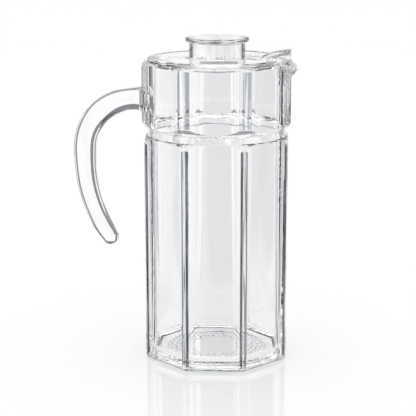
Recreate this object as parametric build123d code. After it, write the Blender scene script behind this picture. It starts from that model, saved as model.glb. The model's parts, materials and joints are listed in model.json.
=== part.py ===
from build123d import *
import os
from math import cos, radians, sin

# Octagonal glass jug with a faceted collar, a pulled pouring lip, an open J-shaped
# handle and a loose clear lid with a beak and a hollow knob.
# Millimetres, +Z up, origin on the jug's axis at its foot, lip towards +X, handle towards -X.

# Jug body
facet_count = 8
body_flats = 102.6  # across opposite flats
body_corner_cut = 1.1  # length taken off each flat by the narrow strip at a corner
body_edge_radius = 1.0  # between a flat and a corner strip
body_height = 159.0  # where the shoulder starts to round off the corners
heel_radius = 3.0
shoulder_height = 6.0
shoulder_bulge = 1.3
waist_depth = 1.3  # how far the round waist lies inside the flats
waist_band_height = 4.5

# Collar above the waist
collar_height = 48.5  # waist band to rim
collar_overhang = 1.7  # how far its flats stand out past the body's
collar_corner_cut = 4.7
collar_edge_radius = 2.0
collar_foot_height = 11.0  # rounded underside
collar_foot_bulge = 1.2
rim_round_height = 6.5
rim_round_bulge = 1.8
rim_inset = 2.7  # from the collar's flats to the outer edge of the rim's land

# Inside of the jug
wall_at_floor = 7.3
wall_at_rim = 8.0
floor_thickness = 5.0
inside_edge_radius = 10.0  # of the upright corners at the floor
inside_rim_edge_radius = 22.0
inside_floor_radius = 7.0
mouth_radius = 0.6  # softened edges of the rim's land
punt_radius = 34.0  # shallow hollow under the foot
punt_depth = 1.2
punt_edge_radius = 1.0

# Pouring lip
lip_reach = 9.2  # past the collar's flat at the height of the rim, before its edge is sloped
lip_tip_radius = 13.0
lip_drop = 13.2  # how far below the rim the lip leaves the collar
lip_thickness = 4.2
lip_channel_depth = 14.0  # below the rim, where the channel leaves the inner wall
lip_edge_slope = 44.0  # degrees that the lip's edge falls away outwards

# Handle, a round bar
handle_height = 190.0
handle_reach = 43.4  # collar to the middle of the upright part
handle_bend_radius = 36.5
handle_straight = 7.5
handle_sweep_radius = 108.0
handle_sweep_angle = 36.0
handle_thickness = 17.0
handle_upright_thickness = 16.5
handle_tip_thickness = 12.8
handle_root_thickness = 19.0
handle_tip_radius = 4.5

# Lid
lid_thickness = 2.4
lid_edge_radius = 0.9
lid_land_inset = 0.2  # the lid's edge inside the outer edge of the rim's land
locating_ring_play = 1.6  # between the ring and the inside of the jug
locating_ring_wall = 2.0
locating_ring_depth = 3.5
beak_root = 31.0  # distance of the beak's root from the axis
beak_root_half_width = 6.0
beak_root_rise = 0.4  # above the lid
beak_middle = 40.0
beak_middle_half_width = 11.5
beak_middle_rise = 3.8
beak_half_width = 14.0
beak_rise = 6.0
beak_overhang = 3.5  # rounded mouth, past the lid's edge
beak_wall = 1.8

# Knob
knob_stem_radius = 20.2
knob_stem_wall = 2.4
knob_stem_height = 11.1
knob_spigot_step = 1.2
knob_flange_radius = 23.0
knob_flange_thickness = 3.2
knob_flange_edge = 1.4
knob_dish_radius = 19.5
knob_dish_depth = 0.8
knob_crown = 2.0  # clear wall between the dish and the hollow
knob_hollow_radius = 1.5

# Heights and radii that follow from the sizes above
body_apothem = body_flats / 2
waist_radius = body_apothem - waist_depth
waist_height = body_height + shoulder_height
collar_apothem = body_apothem + collar_overhang
collar_base = waist_height + waist_band_height
rim_height = collar_base + collar_height
rim_land_radius = collar_apothem - rim_inset
inside_floor_apothem = body_apothem - wall_at_floor
inside_rim_apothem = collar_apothem - wall_at_rim
lid_radius = rim_land_radius - lid_land_inset
lid_top = rim_height + lid_thickness
beak_reach = lid_radius + beak_overhang
beak_mouth = beak_reach + beak_wall
ring_radius = inside_rim_apothem - locating_ring_play
spigot_radius = knob_stem_radius - knob_spigot_step
half_facet = radians(180 / facet_count)
body_corner = body_apothem / cos(half_facet)
collar_corner = collar_apothem / cos(half_facet)
on_floor = (Align.CENTER, Align.CENTER, Align.MIN)


def octagon(apothem):
    return RegularPolygon(apothem, facet_count, major_radius=False, rotation=180 / facet_count)


def soft_octagon(apothem, edge_radius):
    return fillet(octagon(apothem).vertices(), edge_radius)


def cut_octagon(apothem, corner_cut, edge_radius):
    # octagon with a narrow strip across each corner and softened edges
    outline = chamfer(octagon(apothem).vertices(), corner_cut)
    return fillet(outline.vertices(), edge_radius)


def turned(*edges):
    # outline in radius and height, turned about the jug's axis
    return revolve(Plane.XZ * make_face(edges), Axis.Z)


def make_body_shell():
    # octagonal bar whose flats end in arches at the round waist, like the flats of a nut
    bar = extrude(cut_octagon(body_apothem, body_corner_cut, body_edge_radius), waist_height)
    bar = fillet(bar.faces().sort_by(Axis.Z)[0].edges(), heel_radius)
    shoulder = (body_corner, body_height)
    waist = (waist_radius, waist_height)
    envelope = turned(
        SagittaArc(shoulder, waist, -shoulder_bulge),
        Polyline(waist, (0, waist_height), (0, 0), (body_corner, 0), shoulder),
    )
    band = Pos(0, 0, waist_height) * Cylinder(waist_radius, waist_band_height, align=on_floor)
    return (bar & envelope) + band


def make_collar_shell():
    outline = cut_octagon(collar_apothem, collar_corner_cut, collar_edge_radius)
    bar = Pos(0, 0, collar_base) * extrude(outline, collar_height)
    waist = (waist_radius, collar_base)
    foot = (collar_corner, collar_base + collar_foot_height)
    brow = (collar_corner, rim_height - rim_round_height)
    land = (rim_land_radius, rim_height)
    envelope = turned(
        SagittaArc(waist, foot, -collar_foot_bulge),
        Line(foot, brow),
        SagittaArc(brow, land, -rim_round_bulge),
        Polyline(land, (0, rim_height), (0, collar_base), waist),
    )
    return bar & envelope


def leaning_cone(bottom_z, bottom_front, bottom_radius, top_front, top_radius):
    # round body from bottom_z to the rim whose front edge leans outwards along +X
    bottom = Pos(bottom_front - bottom_radius, 0, bottom_z) * Circle(bottom_radius)
    top = Pos(top_front - top_radius, 0, rim_height) * Circle(top_radius)
    return loft([bottom, top], ruled=True)


def make_inside():
    low = Pos(0, 0, floor_thickness) * soft_octagon(inside_floor_apothem, inside_edge_radius)
    high = Pos(0, 0, rim_height) * soft_octagon(inside_rim_apothem, inside_rim_edge_radius)
    hollow = loft([low, high], ruled=True)
    return fillet(hollow.faces().sort_by(Axis.Z)[0].edges(), inside_floor_radius)


def make_jug_body():
    lip_front = collar_apothem + lip_reach
    channel_radius = lip_tip_radius - lip_thickness
    lip = leaning_cone(rim_height - lip_drop, collar_apothem, lip_tip_radius, lip_front, lip_tip_radius)
    channel = leaning_cone(
        rim_height - lip_channel_depth,
        inside_rim_apothem - lip_thickness,
        channel_radius,
        lip_front - lip_thickness,
        channel_radius,
    )
    jug = make_body_shell() + make_collar_shell() + lip
    jug -= make_inside() + channel
    jug = fillet(jug.edges().group_by(Axis.Z)[-1], mouth_radius)
    slope = radians(lip_edge_slope)
    outwards = (sin(slope), 0, cos(slope))
    lip_edge = Plane((collar_apothem, 0, rim_height), x_dir=(0, 1, 0), z_dir=outwards)
    jug -= lip_edge * Box(2 * lip_tip_radius, 2 * lip_tip_radius, lip_drop, align=on_floor)
    punt = Cylinder(punt_radius, punt_depth, align=on_floor)
    punt = fillet(punt.faces().sort_by(Axis.Z)[-1].edges(), punt_edge_radius)
    return jug - punt


def make_handle():
    root_x = -collar_apothem
    upright_x = root_x - handle_reach
    bend_x = upright_x + handle_bend_radius
    bend_z = handle_height - handle_bend_radius
    sweep_x = upright_x + handle_sweep_radius
    sweep_z = bend_z - handle_straight

    def section(x, z, downward, thickness):
        # downward is the angle that the bar has turned from pointing away from the jug
        along = (-cos(radians(downward)), 0, -sin(radians(downward)))
        return Plane((x, 0, z), x_dir=(0, 1, 0), z_dir=along) * Circle(thickness / 2)

    sections = [section(root_x, handle_height, 0, handle_root_thickness)]
    bend_steps = 5
    for step in range(bend_steps + 1):
        turn = 90 * step / bend_steps
        x = bend_x - handle_bend_radius * sin(radians(turn))
        z = bend_z + handle_bend_radius * cos(radians(turn))
        sections.append(section(x, z, turn, handle_thickness))
    sweep_steps = 5
    for step in range(sweep_steps + 1):
        share = step / sweep_steps
        turn = handle_sweep_angle * share
        x = sweep_x - handle_sweep_radius * cos(radians(turn))
        z = sweep_z - handle_sweep_radius * sin(radians(turn))
        thickness = handle_upright_thickness + (handle_tip_thickness - handle_upright_thickness) * share
        sections.append(section(x, z, 90 + turn, thickness))
    bar = loft(sections)
    return fillet(bar.edges().sort_by(Axis.Z)[0], handle_tip_radius)


def beak_section(x, half_width, rise):
    # arch across the beak that stands rise above the lid's seat, with walls as deep as the locating ring
    depth = locating_ring_depth
    arch = EllipticalCenterArc((0, 0), half_width, rise, arc_size=180)
    walls = Polyline((-half_width, 0), (-half_width, -depth), (half_width, -depth), (half_width, 0))
    return Plane((x, 0, rim_height), x_dir=(0, 1, 0), z_dir=(1, 0, 0)) * make_face([arch, walls])


def beak_scoop(inset):
    # swells from its root in the lid to its mouth above the lip, inset from the outer surface
    root = (beak_root + inset, beak_root_half_width - inset, lid_thickness + beak_root_rise - inset)
    middle = (beak_middle + inset, beak_middle_half_width - inset, lid_thickness + beak_middle_rise - inset)
    mouth = (beak_mouth, beak_half_width - inset, lid_thickness + beak_rise - inset)
    return loft([beak_section(*place) for place in (root, middle, mouth)])


def make_lid_plate():
    plate = Pos(0, 0, rim_height) * Cylinder(lid_radius, lid_thickness, align=on_floor)
    plate = fillet(plate.faces().sort_by(Axis.Z)[-1].edges(), lid_edge_radius)
    ring = Cylinder(ring_radius, locating_ring_depth, align=on_floor)
    ring -= Cylinder(ring_radius - locating_ring_wall, locating_ring_depth, align=on_floor)
    plate += Pos(0, 0, rim_height - locating_ring_depth) * ring
    beak_limit = Pos(0, 0, rim_height) * Cylinder(beak_reach, lid_thickness + beak_rise, align=on_floor)
    plate += beak_scoop(0) & beak_limit
    plate -= beak_scoop(beak_wall)
    return plate - Pos(0, 0, rim_height) * Cylinder(spigot_radius, lid_thickness, align=on_floor)


def make_knob():
    # hollow stem with a spigot that sits in the lid's hole, closed by an overhanging flange
    flange_bottom = lid_top + knob_stem_height
    knob_top = flange_bottom + knob_flange_thickness
    hollow_top = knob_top - knob_dish_depth - knob_crown
    spigot = Pos(0, 0, rim_height) * Cylinder(spigot_radius, lid_thickness, align=on_floor)
    stem = Pos(0, 0, lid_top) * Cylinder(knob_stem_radius, knob_stem_height, align=on_floor)
    flange = Pos(0, 0, flange_bottom) * Cylinder(knob_flange_radius, knob_flange_thickness, align=on_floor)
    flange = fillet(flange.edges().filter_by(GeomType.CIRCLE), knob_flange_edge)
    hollow = Pos(0, 0, rim_height) * Cylinder(
        knob_stem_radius - knob_stem_wall, hollow_top - rim_height, align=on_floor
    )
    hollow = fillet(hollow.faces().sort_by(Axis.Z)[-1].edges(), knob_hollow_radius)
    dish_sphere_radius = (knob_dish_radius**2 + knob_dish_depth**2) / (2 * knob_dish_depth)
    dish = Pos(0, 0, knob_top - knob_dish_depth + dish_sphere_radius) * Sphere(dish_sphere_radius)
    return spigot + stem + flange - hollow - dish


part_list = {
    "jug_body": make_jug_body(),
    "handle": make_handle(),
    "lid_plate": make_lid_plate(),
    "knob": make_knob(),
}

os.makedirs("parts", exist_ok=True)
for name, shape in part_list.items():
    export_step(shape, f"parts/{name}.step")
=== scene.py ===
import bpy
import json
import math
import random
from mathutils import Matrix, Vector

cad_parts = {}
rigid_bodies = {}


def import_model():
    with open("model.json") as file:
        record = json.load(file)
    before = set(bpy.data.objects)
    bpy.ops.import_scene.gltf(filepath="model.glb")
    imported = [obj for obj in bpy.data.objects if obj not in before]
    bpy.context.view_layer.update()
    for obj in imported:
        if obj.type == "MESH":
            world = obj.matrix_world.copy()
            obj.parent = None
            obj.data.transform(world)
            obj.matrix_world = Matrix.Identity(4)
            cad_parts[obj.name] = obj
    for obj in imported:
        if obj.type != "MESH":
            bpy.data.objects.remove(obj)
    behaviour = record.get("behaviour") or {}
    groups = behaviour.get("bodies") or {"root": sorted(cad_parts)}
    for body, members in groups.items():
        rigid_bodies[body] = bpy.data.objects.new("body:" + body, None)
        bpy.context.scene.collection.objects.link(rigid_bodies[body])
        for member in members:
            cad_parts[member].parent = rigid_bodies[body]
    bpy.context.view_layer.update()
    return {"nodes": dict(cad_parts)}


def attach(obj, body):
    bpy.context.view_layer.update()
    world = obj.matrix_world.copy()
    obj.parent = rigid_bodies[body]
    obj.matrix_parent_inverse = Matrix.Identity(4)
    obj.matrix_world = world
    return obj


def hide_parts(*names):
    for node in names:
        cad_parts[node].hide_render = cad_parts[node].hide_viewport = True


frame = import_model()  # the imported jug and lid, in metres
scene = bpy.context.scene
samePlace = 1e-6  # metres, points closer than this are one
onPlane = 1e-5  # a point this close to a plane lies on it
print("frame loaded:", ", ".join(sorted(frame["nodes"])))


def deselectAll():
    if bpy.context.object and bpy.context.object.mode != "OBJECT":
        bpy.ops.object.mode_set(mode="OBJECT")
    bpy.ops.object.select_all(action="DESELECT")


def makeActive(piece):
    deselectAll()
    piece.select_set(True)
    bpy.context.view_layer.objects.active = piece


def mergeDoubles(piece, distance):
    makeActive(piece)
    bpy.ops.object.mode_set(mode="EDIT")
    bpy.ops.mesh.select_all(action="SELECT")
    bpy.ops.mesh.remove_doubles(threshold=distance)
    bpy.ops.object.mode_set(mode="OBJECT")


def copyNode(nodeName, pieceName):
    makeActive(frame["nodes"][nodeName])
    bpy.ops.object.duplicate()
    piece = bpy.context.object
    bpy.ops.object.parent_clear(type="CLEAR_KEEP_TRANSFORM")
    piece.name = piece.data.name = pieceName
    piece.data.materials.clear()
    mergeDoubles(piece, samePlace)
    return piece


def pickParts(piece, mode, test):  # leaves edit mode with the vertices or faces that pass selected
    makeActive(piece)
    bpy.ops.object.mode_set(mode="EDIT")
    bpy.ops.mesh.select_mode(type=mode)
    bpy.ops.mesh.select_all(action="DESELECT")
    bpy.ops.object.mode_set(mode="OBJECT")
    for part in piece.data.vertices if mode == "VERT" else piece.data.polygons:
        part.select = test(part)
    bpy.ops.object.mode_set(mode="EDIT")


def pickVerts(piece, test):
    pickParts(piece, "VERT", lambda vert: test(vert.co))


def pickFaces(piece, test):
    pickParts(piece, "FACE", test)


def combine(piece, tool, operation):
    makeActive(piece)
    step = piece.modifiers.new("combine", "BOOLEAN")
    step.object = tool
    step.operation = operation
    step.solver = "EXACT"
    bpy.ops.object.modifier_apply(modifier=step.name)
    makeActive(tool)
    bpy.ops.object.delete()


def polish(piece, angle):  # crisp flats, smooth roundings
    mergeDoubles(piece, 2 * samePlace)
    bpy.ops.object.shade_smooth_by_angle(angle=math.radians(angle))
    step = piece.modifiers.new("flats", "WEIGHTED_NORMAL")
    step.keep_sharp = True
    bpy.ops.object.modifier_apply(modifier=step.name)


class NodeKit:  # short ways to add nodes to one tree
    def __init__(self, tree):
        self.tree = tree

    def add(self, kind):
        return self.tree.nodes.new("ShaderNode" + kind)

    def link(self, source, target):
        if isinstance(source, (int, float)):
            target.default_value = source
        else:
            self.tree.links.new(source, target)

    def math(self, operation, *values):
        node = self.add("Math")
        node.operation = operation
        for source, target in zip(values, node.inputs):
            self.link(source, target)
        return node.outputs[0]

    def ramp(self, value, low, high, before, after):  # smooth change from before to after
        node = self.add("MapRange")
        node.interpolation_type = "SMOOTHSTEP"
        for source, target in zip((value, low, high, before, after), node.inputs):
            self.link(source, target)
        return node.outputs[0]

    def step(self, value, middle, soft, before, after):  # the same, given by its middle
        return self.ramp(value, middle - soft, middle + soft, before, after)

    def mixColor(self, factor, first, second):
        node = self.add("Mix")
        node.data_type = "RGBA"
        node.clamp_factor = False
        self.link(factor, node.inputs[0])
        for source, target in ((first, node.inputs[6]), (second, node.inputs[7])):
            if isinstance(source, tuple):
                target.default_value = (*source, 1)
            else:
                self.link(source, target)
        return node.outputs[2]

    def mix(self, factor, first, second):
        node = self.add("Mix")
        node.data_type = "FLOAT"
        self.link(factor, node.inputs[0])
        self.link(first, node.inputs[2])
        self.link(second, node.inputs[3])
        return node.outputs[0]


# clear materials: pressed glass and clear plastic, some with painted shade, broken dark lines along their
# edges
finishAndShade = {
    "fineTimes": 6.0,  # fine ripples are this many times smaller than the broad ones
    "broadDetail": 1.0,
    "fineDetail": 2.0,
    "hazeSpan": (0.6, 0.85),  # noise between which a spot turns hazy
    "haze": 0.015,  # roughness of a hazy spot
    "paintedShadeSpan": (0.36, 0.64),  # noise between which the painted dark shade turns pale
    "paintedShadeDetail": 1.0,
}
pressedGlass = {"ior": 1.52, "tint": (0.985, 0.988, 0.996), "ripple": 0.03, "depth": 0.00004, "fine": 0.03}
clearPlastic = {"ior": 1.49, "tint": (0.99, 0.992, 0.994), "ripple": 0.02, "depth": 0.00006, "fine": 0.03}
clearKinds = {  # painted shade: a dark and a pale tint, broken up by noise, that draw the glass's edge lines
    "jugGlass": {**pressedGlass, "depth": 0.00005},
    # the border, strip, corner, heel and lid-edge kinds carry painted shade: dark lines tinted into the
    # glass along its edges
    "jugBorder": {
        **pressedGlass,
        "paintedShade": ((0.003, 0.005, 0.007), (0.07, 0.085, 0.1)), "paintedShadeScale": (700, 700, 30),
    },
    # the dimples' glass is tinted near black: painted shade that makes them show dark
    "jugStipple": {**pressedGlass, "tint": (0.08, 0.09, 0.1), "ripple": 0.003, "depth": 0.0001, "fine": 0.3},
    "jugStrip": {
        **pressedGlass,
        "paintedShade": ((0.04, 0.055, 0.07), (0.95, 0.97, 1.0)), "paintedShadeScale": (900, 900, 25),
    },
    "jugCorner": {
        **pressedGlass, "depth": 0.00005,
        "paintedShade": ((0.2, 0.23, 0.27), (1.0, 1.0, 1.0)), "paintedShadeScale": (350, 350, 15),
    },
    "jugHeel": {
        **pressedGlass,
        "paintedShade": ((0.012, 0.02, 0.028), (0.6, 0.64, 0.68)), "paintedShadeScale": (900, 900, 25),
    },
    "lidClear": clearPlastic,
    "lidEdge": {
        **clearPlastic,
        "paintedShade": ((0.04, 0.05, 0.06), (0.9, 0.92, 0.95)), "paintedShadeScale": (160, 160, 900),
    },
}


def makeRippleGroup():  # broad and fine ripples, shared by all clear materials
    tree = bpy.data.node_groups.new("pressedRipple", "ShaderNodeTree")
    for name in ("Ripple Size", "Fine Share"):
        tree.interface.new_socket(name, in_out="INPUT", socket_type="NodeSocketFloat")
    for name in ("Height", "Haze"):
        tree.interface.new_socket(name, in_out="OUTPUT", socket_type="NodeSocketFloat")
    kit = NodeKit(tree)
    values, leave = tree.nodes.new("NodeGroupInput"), tree.nodes.new("NodeGroupOutput")
    place, broad, fine = kit.add("TexCoord"), kit.add("TexNoise"), kit.add("TexNoise")
    for noise, times, detail in (
        (broad, 1.0, finishAndShade["broadDetail"]),
        (fine, finishAndShade["fineTimes"], finishAndShade["fineDetail"]),
    ):
        kit.link(place.outputs["Object"], noise.inputs["Vector"])
        kit.link(kit.math("DIVIDE", times, values.outputs["Ripple Size"]), noise.inputs["Scale"])
        noise.inputs["Detail"].default_value = detail
    small = kit.math("MULTIPLY", fine.outputs["Fac"], values.outputs["Fine Share"])
    kit.link(kit.math("ADD", broad.outputs["Fac"], small), leave.inputs["Height"])
    kit.link(kit.ramp(fine.outputs["Fac"], *finishAndShade["hazeSpan"], 0.0, 1.0), leave.inputs["Haze"])
    return tree


rippleGroup = makeRippleGroup()


def paintedShadeColor(kit, kind):  # painted shade: broken dark lines where a ray first meets the glass, clear behind it
    place, stretch, noise = kit.add("TexCoord"), kit.add("Mapping"), kit.add("TexNoise")
    kit.link(place.outputs["Object"], stretch.inputs["Vector"])
    stretch.inputs["Scale"].default_value = kind["paintedShadeScale"]
    kit.link(stretch.outputs["Vector"], noise.inputs["Vector"])
    noise.inputs["Scale"].default_value = 1.0
    noise.inputs["Detail"].default_value = finishAndShade["paintedShadeDetail"]
    share = kit.ramp(noise.outputs["Fac"], *finishAndShade["paintedShadeSpan"], 0.0, 1.0)
    edgeShade = kit.mixColor(share, *kind["paintedShade"])
    path = kit.add("LightPath")
    first = kit.math("LESS_THAN", path.outputs["Transmission Depth"], 0.5)
    return kit.mixColor(first, kind["tint"], edgeShade)


def makeClear(name):
    kind = clearKinds[name]
    material = bpy.data.materials.new(name)
    material.use_nodes = True
    kit = NodeKit(material.node_tree)
    shader = material.node_tree.nodes["Principled BSDF"]
    shader.inputs["Base Color"].default_value = (*kind["tint"], 1)
    # kinds with edge lines get the painted shade as their base colour
    if "paintedShade" in kind:
        kit.link(paintedShadeColor(kit, kind), shader.inputs["Base Color"])
    shader.inputs["IOR"].default_value = kind["ior"]
    shader.inputs["Transmission Weight"].default_value = 1.0
    group = kit.add("Group")
    group.node_tree = rippleGroup
    group.inputs["Ripple Size"].default_value = kind["ripple"]
    group.inputs["Fine Share"].default_value = kind["fine"]
    bump = kit.add("Bump")
    bump.inputs["Distance"].default_value = kind["depth"]
    kit.link(group.outputs["Height"], bump.inputs["Height"])
    kit.link(bump.outputs["Normal"], shader.inputs["Normal"])
    kit.link(kit.math("MULTIPLY", group.outputs["Haze"], finishAndShade["haze"]), shader.inputs["Roughness"])
    return material


clearMaterials = {name: makeClear(name) for name in clearKinds}
print("clear materials done")

# jug: body and handle become one piece of glass
jug = {
    "slots": ("jugGlass", "jugBorder", "jugStipple", "jugStrip", "jugCorner", "jugHeel"),
    "collarFlat": -0.053,  # x of the flat that the handle grows from
    "handleHeight": 0.190,
    "flare": 0.0035,  # hollow rounding where the handle meets the collar
    "flareSteps": 5,
    "rootSink": 0.0002,  # the rounding ends just inside the wall
    "rootDepth": 0.002,  # how far the root goes into the wall
    "cutGap": 1e-7,  # fine enough to cut the handle's bar clean
    "flat": 0.0513,  # distance of the body's flats from the axis
    "flatLean": 1e-3,  # most that a flat's normal leans
    "sameFlat": 0.2,  # degrees, faces that differ by less are one flat
    "panelStep": 0.0017,  # each flat is a pressed panel with a sloped border
    "panelDepth": 0.0005,
    "upright": 0.05,  # most that the normal of an upright border or strip leans
    "stripTurn": (4, 41),  # degrees past a flat's normal that a corner strip faces
    "stripAway": 0.0535,  # distance from the axis past which the strips lie
    "stripTop": 0.155,  # the body's strips end here, the collar's are above
    "lipFrom": 0.0532,  # x past which a face belongs to the pouring lip
    "heelTop": 0.004,  # the heel's rounding lies below this
    "heelSlope": (0.2, 0.97),  # how far its normals point down
    "heelAway": 0.044,  # and its distance from the axis
    "hollow": 0.0012,  # height of the hollow's ceiling under the foot
    "ceilingSlope": 0.999,
    "stippleRows": ((0.0205, 34), (0.024, 40), (0.0275, 46), (0.031, 52)),  # radius and count of dimples
    "stippleSize": 0.0013,
    "stippleDepth": 0.0006,
    "stippleGap": 0.00025,  # a dimple that would come closer to another is left out
    "stippleTurn": 0.22,  # random turn, as a share of the step
    "stippleShift": 0.0007,  # random change of the row's radius
    "stippleSpread": (0.65, 1.15),  # random change of the size
    "stippleSeed": 13,
    "edgeAngle": 28,
}


def setFaceMaterial(face, name):
    face.material_index = jug["slots"].index(name)


def stippleFoot(piece):
    deselectAll()
    chance = random.Random(jug["stippleSeed"])
    bpy.ops.mesh.primitive_ico_sphere_add(subdivisions=2, radius=jug["stippleSize"], location=(0, 0, -1))
    dimples = bpy.context.object
    bpy.ops.object.transform_apply(location=True)
    bpy.ops.object.mode_set(mode="EDIT")
    bpy.ops.mesh.delete(type="VERT")
    turn, shift = jug["stippleTurn"], jug["stippleShift"]
    placed = []
    for radius, count in jug["stippleRows"]:
        for index in range(count):
            angle = 2 * math.pi * (index + chance.uniform(-turn, turn)) / count
            away = radius + chance.uniform(-shift, shift)
            size = jug["stippleSize"] * chance.uniform(*jug["stippleSpread"])
            rise = jug["hollow"] + jug["stippleDepth"] - size
            place = Vector((away * math.cos(angle), away * math.sin(angle), rise))
            room = size + jug["stippleGap"]
            if any((place - other).length < room + otherSize for other, otherSize in placed):
                continue
            placed.append((place, size))
            bpy.ops.mesh.primitive_ico_sphere_add(subdivisions=2, radius=size, location=place)
    bpy.ops.object.mode_set(mode="OBJECT")
    pickFaces(piece, isCeiling)
    bpy.ops.mesh.dissolve_limited(angle_limit=math.radians(jug["sameFlat"]))
    bpy.ops.object.mode_set(mode="OBJECT")
    for material in piece.data.materials:
        dimples.data.materials.append(material)
    # the dimples get the near-black tint, which is painted shade
    for face in dimples.data.polygons:
        setFaceMaterial(face, "jugStipple")
    combine(piece, dimples, "DIFFERENCE")
    mergeDoubles(piece, 2 * samePlace)


def isCeiling(face):  # the top of the hollow under the foot
    return face.normal.z < -jug["ceilingSlope"] and abs(face.center.z - jug["hollow"]) < samePlace


def isFlat(face):
    out = face.normal.xy.dot(face.center.xy)
    return abs(face.normal.z) < jug["flatLean"] and abs(out - jug["flat"]) < onPlane


def isStrip(face):  # the narrow strips at the corners of body and collar
    start, end = jug["stripTurn"]
    turn = math.degrees(math.atan2(face.normal.y, face.normal.x)) % 45
    away = face.center.xy.length
    return start < turn < end and abs(face.normal.z) < jug["upright"] and away > jug["stripAway"]


def isHeel(face):  # the rounding between the body's wall and the foot
    low, high = jug["heelSlope"]
    away = face.center.xy.length
    return face.center.z < jug["heelTop"] and low < -face.normal.z < high and away > jug["heelAway"]


def pressPanels(piece):
    pickFaces(piece, isFlat)
    bpy.ops.mesh.dissolve_limited(angle_limit=math.radians(jug["sameFlat"]))
    pickFaces(piece, isFlat)
    before = len(piece.data.polygons)
    bpy.ops.mesh.inset(thickness=jug["panelStep"], depth=-jug["panelDepth"], use_individual=True)
    bpy.ops.object.mode_set(mode="OBJECT")
    # borders, corner strips, heel and lip get the materials with painted shade, dark lines along the glass's
    # edges
    for index, face in enumerate(piece.data.polygons):
        if index >= before and abs(face.normal.z) < jug["upright"]:  # the sloped borders that stand upright
            setFaceMaterial(face, "jugBorder")
        elif isStrip(face):
            setFaceMaterial(face, "jugStrip" if face.center.z < jug["stripTop"] else "jugCorner")
        elif isHeel(face):
            setFaceMaterial(face, "jugHeel")
        elif face.center.x > jug["lipFrom"]:
            setFaceMaterial(face, "jugCorner")


def makeHandle():  # the bar, cut back and flared into the collar's wall
    handle = copyNode("handle", "handleBar")
    flareX = jug["collarFlat"] + jug["rootSink"] - jug["flare"]
    makeActive(handle)
    bpy.ops.object.mode_set(mode="EDIT")
    bpy.ops.mesh.select_all(action="SELECT")
    bpy.ops.mesh.bisect(
        plane_co=(flareX, 0, 0), plane_no=(1, 0, 0), clear_outer=True, threshold=jug["cutGap"],
    )
    bpy.ops.object.mode_set(mode="OBJECT")
    pickVerts(handle, lambda co: co.x > flareX - samePlace)
    centre = (0, 0, jug["handleHeight"])
    ring = max(vert.co.z for vert in handle.data.vertices if vert.select) - jug["handleHeight"]
    width, x = ring, flareX
    for count in range(1, jug["flareSteps"] + 1):
        turn = math.radians(90 * count / jug["flareSteps"])
        newX = flareX + jug["flare"] * math.sin(turn)
        newWidth = ring + jug["flare"] * (1 - math.cos(turn))
        bpy.ops.mesh.extrude_region_move(TRANSFORM_OT_translate={"value": (newX - x, 0, 0)})
        grow = newWidth / width
        bpy.ops.transform.resize(value=(1, grow, grow), center_override=centre)
        width, x = newWidth, newX
    bpy.ops.mesh.extrude_region_move(TRANSFORM_OT_translate={"value": (jug["rootDepth"], 0, 0)})
    bpy.ops.mesh.edge_face_add()
    bpy.ops.object.mode_set(mode="OBJECT")
    return handle


def makeJug():
    piece = copyNode("jug_body", "jugGlass")
    for name in jug["slots"]:
        piece.data.materials.append(clearMaterials[name])
    pressPanels(piece)
    stippleFoot(piece)  # before the handle, so that every run cuts the same mesh
    combine(piece, makeHandle(), "UNION")
    polish(piece, jug["edgeAngle"])
    return piece


jugGlass = makeJug()
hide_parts("jug_body", "handle")
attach(jugGlass, "jug")
print("jug:", len(jugGlass.data.polygons), "faces")

# lid: the plate with its beak, and the hollow knob pushed into its hole
lid = {
    "seat": 0.218,  # height of the rim that the plate lies on
    "top": 0.2204,
    "spigot": 0.019,  # radius of the hole and of the knob's spigot
    "recess": (0.0225, 0.0476),  # inner and outer radius of the sunk top inside the lid's bead
    "recessDepth": 0.0004,
    "recessStart": 26,  # degrees from the beak's middle where the recess starts
    "recessSteps": 96,
    "seatGap": 0.0001,  # hair of air between two clear faces
    "spigotGap": 0.00015,
    "edgeSlope": (0.3, 0.75),  # normals of the knob's rounded edges, which get painted shade as its dark outlines
    "edgeAngle": 28,
}


def makeRecess():  # a ring with sloped sides, spun round the lid and open at the beak
    inner, outer = lid["recess"]
    depth, start = lid["recessDepth"], math.radians(lid["recessStart"])
    middle = ((inner + outer) / 2, 0, lid["top"])
    deselectAll()
    bpy.ops.mesh.primitive_plane_add(size=1, rotation=(math.pi / 2, 0, 0))
    recess = bpy.context.object
    bpy.ops.object.transform_apply(rotation=True)
    recess.scale = (outer - inner, 1, 2 * depth)
    recess.location = middle
    bpy.ops.object.transform_apply(location=True, scale=True)
    pickVerts(recess, lambda co: co.z < lid["top"])
    narrow = 1 - 4 * depth / (outer - inner)  # each side slopes in by twice the depth
    bpy.ops.transform.resize(value=(narrow, 1, 1), center_override=middle)
    bpy.ops.mesh.select_all(action="SELECT")
    bpy.ops.transform.rotate(value=start, orient_axis="Z", center_override=(0, 0, 0))
    bpy.ops.mesh.spin(
        steps=lid["recessSteps"], angle=2 * math.pi - 2 * start, center=(0, 0, 0), axis=(0, 0, 1),
    )
    bpy.ops.mesh.select_all(action="SELECT")
    bpy.ops.mesh.remove_doubles(threshold=samePlace)
    bpy.ops.mesh.normals_make_consistent(inside=False)
    bpy.ops.object.mode_set(mode="OBJECT")
    return recess


def makeLidPlate():
    piece = copyNode("lid_plate", "lidPlate")
    pickVerts(piece, lambda co: abs(co.z - lid["seat"]) < onPlane)
    bpy.ops.transform.translate(value=(0, 0, lid["seatGap"]))
    bpy.ops.object.mode_set(mode="OBJECT")
    combine(piece, makeRecess(), "DIFFERENCE")
    polish(piece, lid["edgeAngle"])
    return piece


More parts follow.
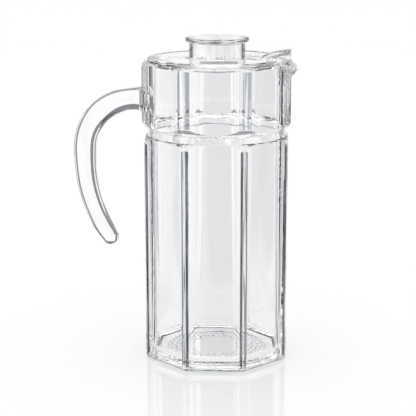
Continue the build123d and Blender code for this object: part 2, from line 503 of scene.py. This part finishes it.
def makeKnob():
    piece = copyNode("knob", "lidKnob")
    spigot = lid["spigot"]
    pickVerts(piece, lambda co: abs(co.xy.length - spigot) < onPlane and co.z < lid["top"] + onPlane)
    shrink = 1 - lid["spigotGap"] / spigot
    bpy.ops.transform.resize(value=(shrink, shrink, 1), center_override=(0, 0, 0))
    bpy.ops.object.mode_set(mode="OBJECT")
    pickVerts(piece, lambda co: abs(co.z - lid["top"]) < onPlane)
    bpy.ops.transform.translate(value=(0, 0, lid["seatGap"]))
    bpy.ops.object.mode_set(mode="OBJECT")
    polish(piece, lid["edgeAngle"])
    return piece


lidPlate = makeLidPlate()
lidKnob = makeKnob()
for piece, node in ((lidPlate, "lid_plate"), (lidKnob, "knob")):
    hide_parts(node)
    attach(piece, "lid")
    for name in ("lidClear", "lidEdge"):
        piece.data.materials.append(clearMaterials[name])
    print(piece.name + ":", len(piece.data.polygons), "faces")
# the knob's rounded edges take lidEdge, whose dark tint is painted shade that draws its outlines
low, high = lid["edgeSlope"]
for face in lidKnob.data.polygons:
    if low < abs(face.normal.z) < high:
        face.material_index = 1

# studio: white all round, with grey and dark cards that only rays through glass see and that draw its lines
studio = {
    "cards": {  # seen through the body; from and to are degrees from the jug's axes
        "from": 26, "to": 39, "level": 0.6,
        "lane": 0.056,  # half width of the white lanes on the floor
        "pale": (0.87, 0.9, 1.03),  # grey straight behind the jug, lighter beside it, white further out
        "paleSteps": ((0.037, 0.045), (0.072, 0.085)),  # where these change, as sideways over along
        "paleStart": 0.3,  # how far in front of the jug along is counted from
        "paleNear": (0.12, 0.26, 0.15, 1.0),  # less of the white close to the jug
        "under": (0.035, 0.05, 1.05),  # white floor under the foot: two radii and its level
        "low": 0.6, "above": 0.0,  # sine of the cards' top, and what is left over it
        "horizon": (0.13, 0.3, 0.3),  # dark band over the floor's end, which draws level lines
    },
    "barCards": {  # seen through a single bar, such as the handle
        "from": 26, "to": 41, "level": 0.22, "lane": 0.012, "low": 0.2, "above": 0.18,
        "place": -0.095,  # x of the handle, which they stand round
        "ring": (0.1, 0.13, 0.2, 0.24, 0.3),  # grey ring on the floor: four radii and its level
    },
    "glints": {  # seen in single reflections, with a thin warm edge
        "near": 8, "far": 29, "bright": 0.85, "warm": 2.5, "low": 0.6, "above": 0.0,
        "horizon": (0.05, 0.18, 0.0),
        "floor": (0.05, 0.1, 0.85),  # bright floor round the foot: two radii and its level
    },
    "sparkles": {  # seen in repeated reflections
        "folds": 20, "to": 3.5, "level": 0.45, "bright": 1.1, "low": 0.45, "above": 2.0,
        "horizon": (0.05, 0.18, 0.0),
        "floor": (0.11, 0.22, 0.92),
    },
    "softEdge": 1.0,  # degrees
    "laneSpread": 3,  # degrees that the lanes widen
    "laneEdge": 0.006,
    "topFrom": 0.8,  # sine of the height where the white top starts
    "topEdge": 0.02,
    "horizonEdge": 0.01,
    "bodyFaces": 3.5,  # a ray through more faces of glass sees the body's cards
    "cardColor": (0.015, 0.028, 0.042),
    "warmColor": (0.5, 0.22, 0.09),
    "white": 0.985,
    "floorSize": 16,
    "floorFill": 0.6,
    "floorPaint": 0.425,
    "floorGap": 0.0002,
    "floorGloss": 0.07,
    "floorMirror": 1.45,
}


def foldAngle(kit, x, y, folds):  # degrees from the nearest of the folds
    angle = kit.math("ARCTAN2", y, x)
    turns = kit.math("MULTIPLY_ADD", angle, folds / (2 * math.pi), 0.5)
    part = kit.math("ABSOLUTE", kit.math("SUBTRACT", kit.math("FRACT", turns), 0.5))
    return kit.math("MULTIPLY", part, 360 / folds)


def reach(kit, x, y):  # distance from the middle
    return kit.math("SQRT", kit.math("ADD", kit.math("MULTIPLY", x, x), kit.math("MULTIPLY", y, y)))


def laneMask(kit, degrees, radius, lane):
    angle = kit.math("MULTIPLY", degrees, math.pi / 180)
    side = kit.math("MULTIPLY", radius, kit.math("SINE", angle))
    along = kit.math("MULTIPLY", radius, kit.math("COSINE", angle))
    spread = kit.math("MULTIPLY", along, math.tan(math.radians(studio["laneSpread"])))
    return kit.ramp(kit.math("SUBTRACT", side, spread), lane, lane + studio["laneEdge"], 1.0, 0.0)


def paleLevel(kit, degrees, radius, cards):  # a pale grey card straight behind, white beside it
    angle = kit.math("MULTIPLY", degrees, math.pi / 180)
    if radius is None:
        side = kit.math("TANGENT", angle)
    else:
        along = kit.math("MULTIPLY_ADD", radius, kit.math("COSINE", angle), cards["paleStart"])
        side = kit.math("DIVIDE", kit.math("MULTIPLY", radius, kit.math("SINE", angle)), along)
    grey, light, bright = cards["pale"]
    lightStep, brightStep = cards["paleSteps"]
    beside = kit.ramp(side, *brightStep, 0.0, bright - light)
    if radius is not None:
        beside = kit.math("MULTIPLY", beside, kit.ramp(radius, *cards["paleNear"]))
    return kit.math("ADD", kit.ramp(side, *lightStep, grey, light), beside)


def cardLevel(kit, degrees, radius, cards):
    soft = studio["softEdge"]
    white = kit.step(degrees, cards["from"], soft, 1.0, 0.0)
    white = kit.math("MAXIMUM", white, kit.step(degrees, cards["to"], soft, 0.0, 1.0))
    if radius is not None:  # on the floor, white lanes as wide as the jug or the bar lead away from it
        for turn in (degrees, kit.math("SUBTRACT", 45.0, degrees)):
            white = kit.math("MAXIMUM", white, laneMask(kit, turn, radius, cards["lane"]))
    pale = paleLevel(kit, degrees, radius, cards) if "pale" in cards else 1.0
    return kit.ramp(white, 0.0, 1.0, cards["level"], pale)


def barLevel(kit, x, y):  # the bar's cards on the floor, round the handle
    cards = studio["barCards"]
    fromBar = kit.math("SUBTRACT", x, cards["place"])
    radius = reach(kit, fromBar, y)
    level = cardLevel(kit, foldAngle(kit, fromBar, y, 4), radius, cards)
    ringIn, ringStart, ringEnd, ringOut, ringLevel = cards["ring"]
    rise = kit.ramp(radius, ringIn, ringStart, 0.0, 1.0)
    ring = kit.math("MULTIPLY", rise, kit.ramp(radius, ringEnd, ringOut, 1.0, 0.0))
    return kit.math("MINIMUM", level, kit.ramp(ring, 0.0, 1.0, 1.0, ringLevel))


def studioLevels(kit, x, y, radius=None):  # what each kind of ray sees; a radius means on the floor
    glint, sparkle, soft = studio["glints"], studio["sparkles"], studio["softEdge"]
    fourths = foldAngle(kit, x, y, 4)
    body = cardLevel(kit, fourths, radius, studio["cards"])
    if radius is None:
        bar = cardLevel(kit, fourths, None, studio["barCards"])
    else:
        bar = barLevel(kit, x, y)
    near = kit.step(fourths, glint["near"], soft, 0.0, glint["bright"])
    far = kit.step(fourths, glint["far"], soft, 1.0, 0.0)
    warm = kit.math("COMPARE", fourths, glint["far"], glint["warm"])
    stripes = foldAngle(kit, x, y, sparkle["folds"])
    deep = kit.step(stripes, sparkle["to"], soft, sparkle["level"], sparkle["bright"])
    return body, bar, kit.math("MULTIPLY", near, far), deep, warm


def pickColor(kit, body, bar, shine, deep, warm, plain):  # which cards this ray may see
    path = kit.add("LightPath")
    through = path.outputs["Transmission Depth"]
    glossy = path.outputs["Glossy Depth"]
    once = kit.math("COMPARE", glossy, 1.0, 0.5)
    reflected = kit.math("MULTIPLY", once, kit.math("MINIMUM", through, 1.0))
    level = kit.mix(kit.math("GREATER_THAN", through, studio["bodyFaces"]), bar, body)
    level = kit.mix(reflected, level, shine)
    level = kit.mix(kit.math("GREATER_THAN", glossy, 1.5), level, deep)  # reflected twice or more
    level = kit.mix(kit.math("LESS_THAN", through, 0.5), level, plain)  # never met the glass
    cards = kit.mixColor(level, studio["cardColor"], (1, 1, 1))
    return kit.mixColor(kit.math("MULTIPLY", warm, reflected), cards, studio["warmColor"])


def makeWorld():
    world = bpy.data.worlds.new("studioWorld")
    scene.world = world
    world.use_nodes = True
    kit = NodeKit(world.node_tree)
    place, split = kit.add("TexCoord"), kit.add("SeparateXYZ")
    kit.link(place.outputs["Generated"], split.inputs[0])
    x, y, z = split.outputs
    high = kit.step(z, studio["topFrom"], studio["topEdge"], 0.0, 1.0)
    levels = []
    *cards, warm = studioLevels(kit, x, y)
    for level, name in zip(cards, ("cards", "barCards", "glints", "sparkles")):
        kind = studio[name]
        low = kit.step(z, kind["low"], studio["topEdge"], 1.0, kind["above"])
        if "horizon" in kind:
            start, end, dark = kind["horizon"]
            soft = studio["horizonEdge"]
            band = kit.step(z, start, soft, 1.0, dark)
            band = kit.math("ADD", band, kit.step(z, end, soft, 0.0, 1.0 - dark))
            low = kit.math("MULTIPLY", low, band)
        levels.append(kit.math("MAXIMUM", kit.math("MULTIPLY", level, low), high))
    color = pickColor(kit, *levels, warm, studio["white"])
    kit.link(color, world.node_tree.nodes["Background"].inputs["Color"])


def floorColor(kit):
    place, split = kit.add("TexCoord"), kit.add("SeparateXYZ")
    kit.link(place.outputs["Object"], split.inputs[0])
    x, y, _ = split.outputs
    radius = reach(kit, x, y)
    body, bar, shine, deep, _ = studioLevels(kit, x, y, radius)
    inner, outer, level = studio["cards"]["under"]
    body = kit.mix(kit.ramp(radius, inner, outer, 1.0, 0.0), body, level)
    inner, outer, level = studio["glints"]["floor"]
    shine = kit.math("MAXIMUM", shine, kit.ramp(radius, inner, outer, level, 0.0))
    inner, outer, level = studio["sparkles"]["floor"]
    deep = kit.math("MAXIMUM", deep, kit.ramp(radius, inner, outer, level, 0.0))
    return pickColor(kit, body, bar, shine, deep, 0.0, studio["floorFill"])


def makeFloor():
    deselectAll()
    bpy.ops.mesh.primitive_plane_add(size=studio["floorSize"], location=(0, 0, -studio["floorGap"]))
    floor = bpy.context.object
    floor.name = "studioFloor"
    material = bpy.data.materials.new("studioFloor")
    material.use_nodes = True
    tree = material.node_tree
    kit = NodeKit(tree)
    tree.nodes.remove(tree.nodes["Principled BSDF"])
    glow, paint, gloss = kit.add("Emission"), kit.add("BsdfDiffuse"), kit.add("BsdfGlossy")
    kit.link(floorColor(kit), glow.inputs["Color"])
    grey = studio["floorPaint"]
    paint.inputs["Color"].default_value = (grey, grey, grey, 1)
    gloss.inputs["Color"].default_value = (1, 1, 1, 1)
    gloss.inputs["Roughness"].default_value = studio["floorGloss"]
    path, mirror = kit.add("LightPath"), kit.add("Fresnel")
    mirror.inputs["IOR"].default_value = studio["floorMirror"]
    total, surface, plain = kit.add("AddShader"), kit.add("MixShader"), kit.add("MixShader")
    kit.link(paint.outputs[0], total.inputs[0])
    kit.link(glow.outputs[0], total.inputs[1])
    kit.link(kit.math("MULTIPLY", mirror.outputs[0], path.outputs["Is Camera Ray"]), surface.inputs[0])
    kit.link(total.outputs[0], surface.inputs[1])
    kit.link(gloss.outputs[0], surface.inputs[2])
    throughGlass = kit.math("MINIMUM", path.outputs["Transmission Depth"], 1.0)
    kit.link(throughGlass, plain.inputs[0])  # rays through glass see the cards alone
    kit.link(surface.outputs[0], plain.inputs[1])
    kit.link(glow.outputs[0], plain.inputs[2])
    kit.link(plain.outputs[0], tree.nodes["Material Output"].inputs["Surface"])
    floor.data.materials.append(material)


makeWorld()
makeFloor()
print("studio done")

# camera at the photo's angle
view = {
    "turn": 2.518,  # degrees round from the front
    "rise": 12.915,  # degrees above level
    "distance": 0.9565,
    "focalPixels": 1300,
    "pictureWidth": 416,
    "axisPixel": 216.93,  # where the jug's axis stands across the picture
    "aimHeight": 0.1092,
    "sensor": 36,
    "bounces": 24,  # enough to come out of the glass again
    "glossyBounces": 12,
}


def makeCamera():
    turn, rise = math.radians(view["turn"]), math.radians(view["rise"])
    flat = math.cos(rise)
    back = Vector((math.sin(turn) * flat, -math.cos(turn) * flat, math.sin(rise)))
    right = Vector((math.cos(turn), math.sin(turn), 0))
    offset = (view["axisPixel"] - view["pictureWidth"] / 2) / view["focalPixels"] * view["distance"]
    bpy.ops.object.camera_add()
    camera = bpy.context.object
    camera.data.sensor_width = view["sensor"]
    camera.data.lens = view["focalPixels"] / view["pictureWidth"] * view["sensor"]
    camera.location = Vector((0, 0, view["aimHeight"])) - right * offset + back * view["distance"]
    camera.rotation_euler = (-back).to_track_quat("-Z", "Y").to_euler()
    scene.camera = camera


makeCamera()
scene.view_settings.view_transform = "Standard"
scene.cycles.max_bounces = view["bounces"]
scene.cycles.transmission_bounces = view["bounces"]
scene.cycles.glossy_bounces = view["glossyBounces"]
scene.cycles.transparent_max_bounces = view["bounces"]
print("camera done")
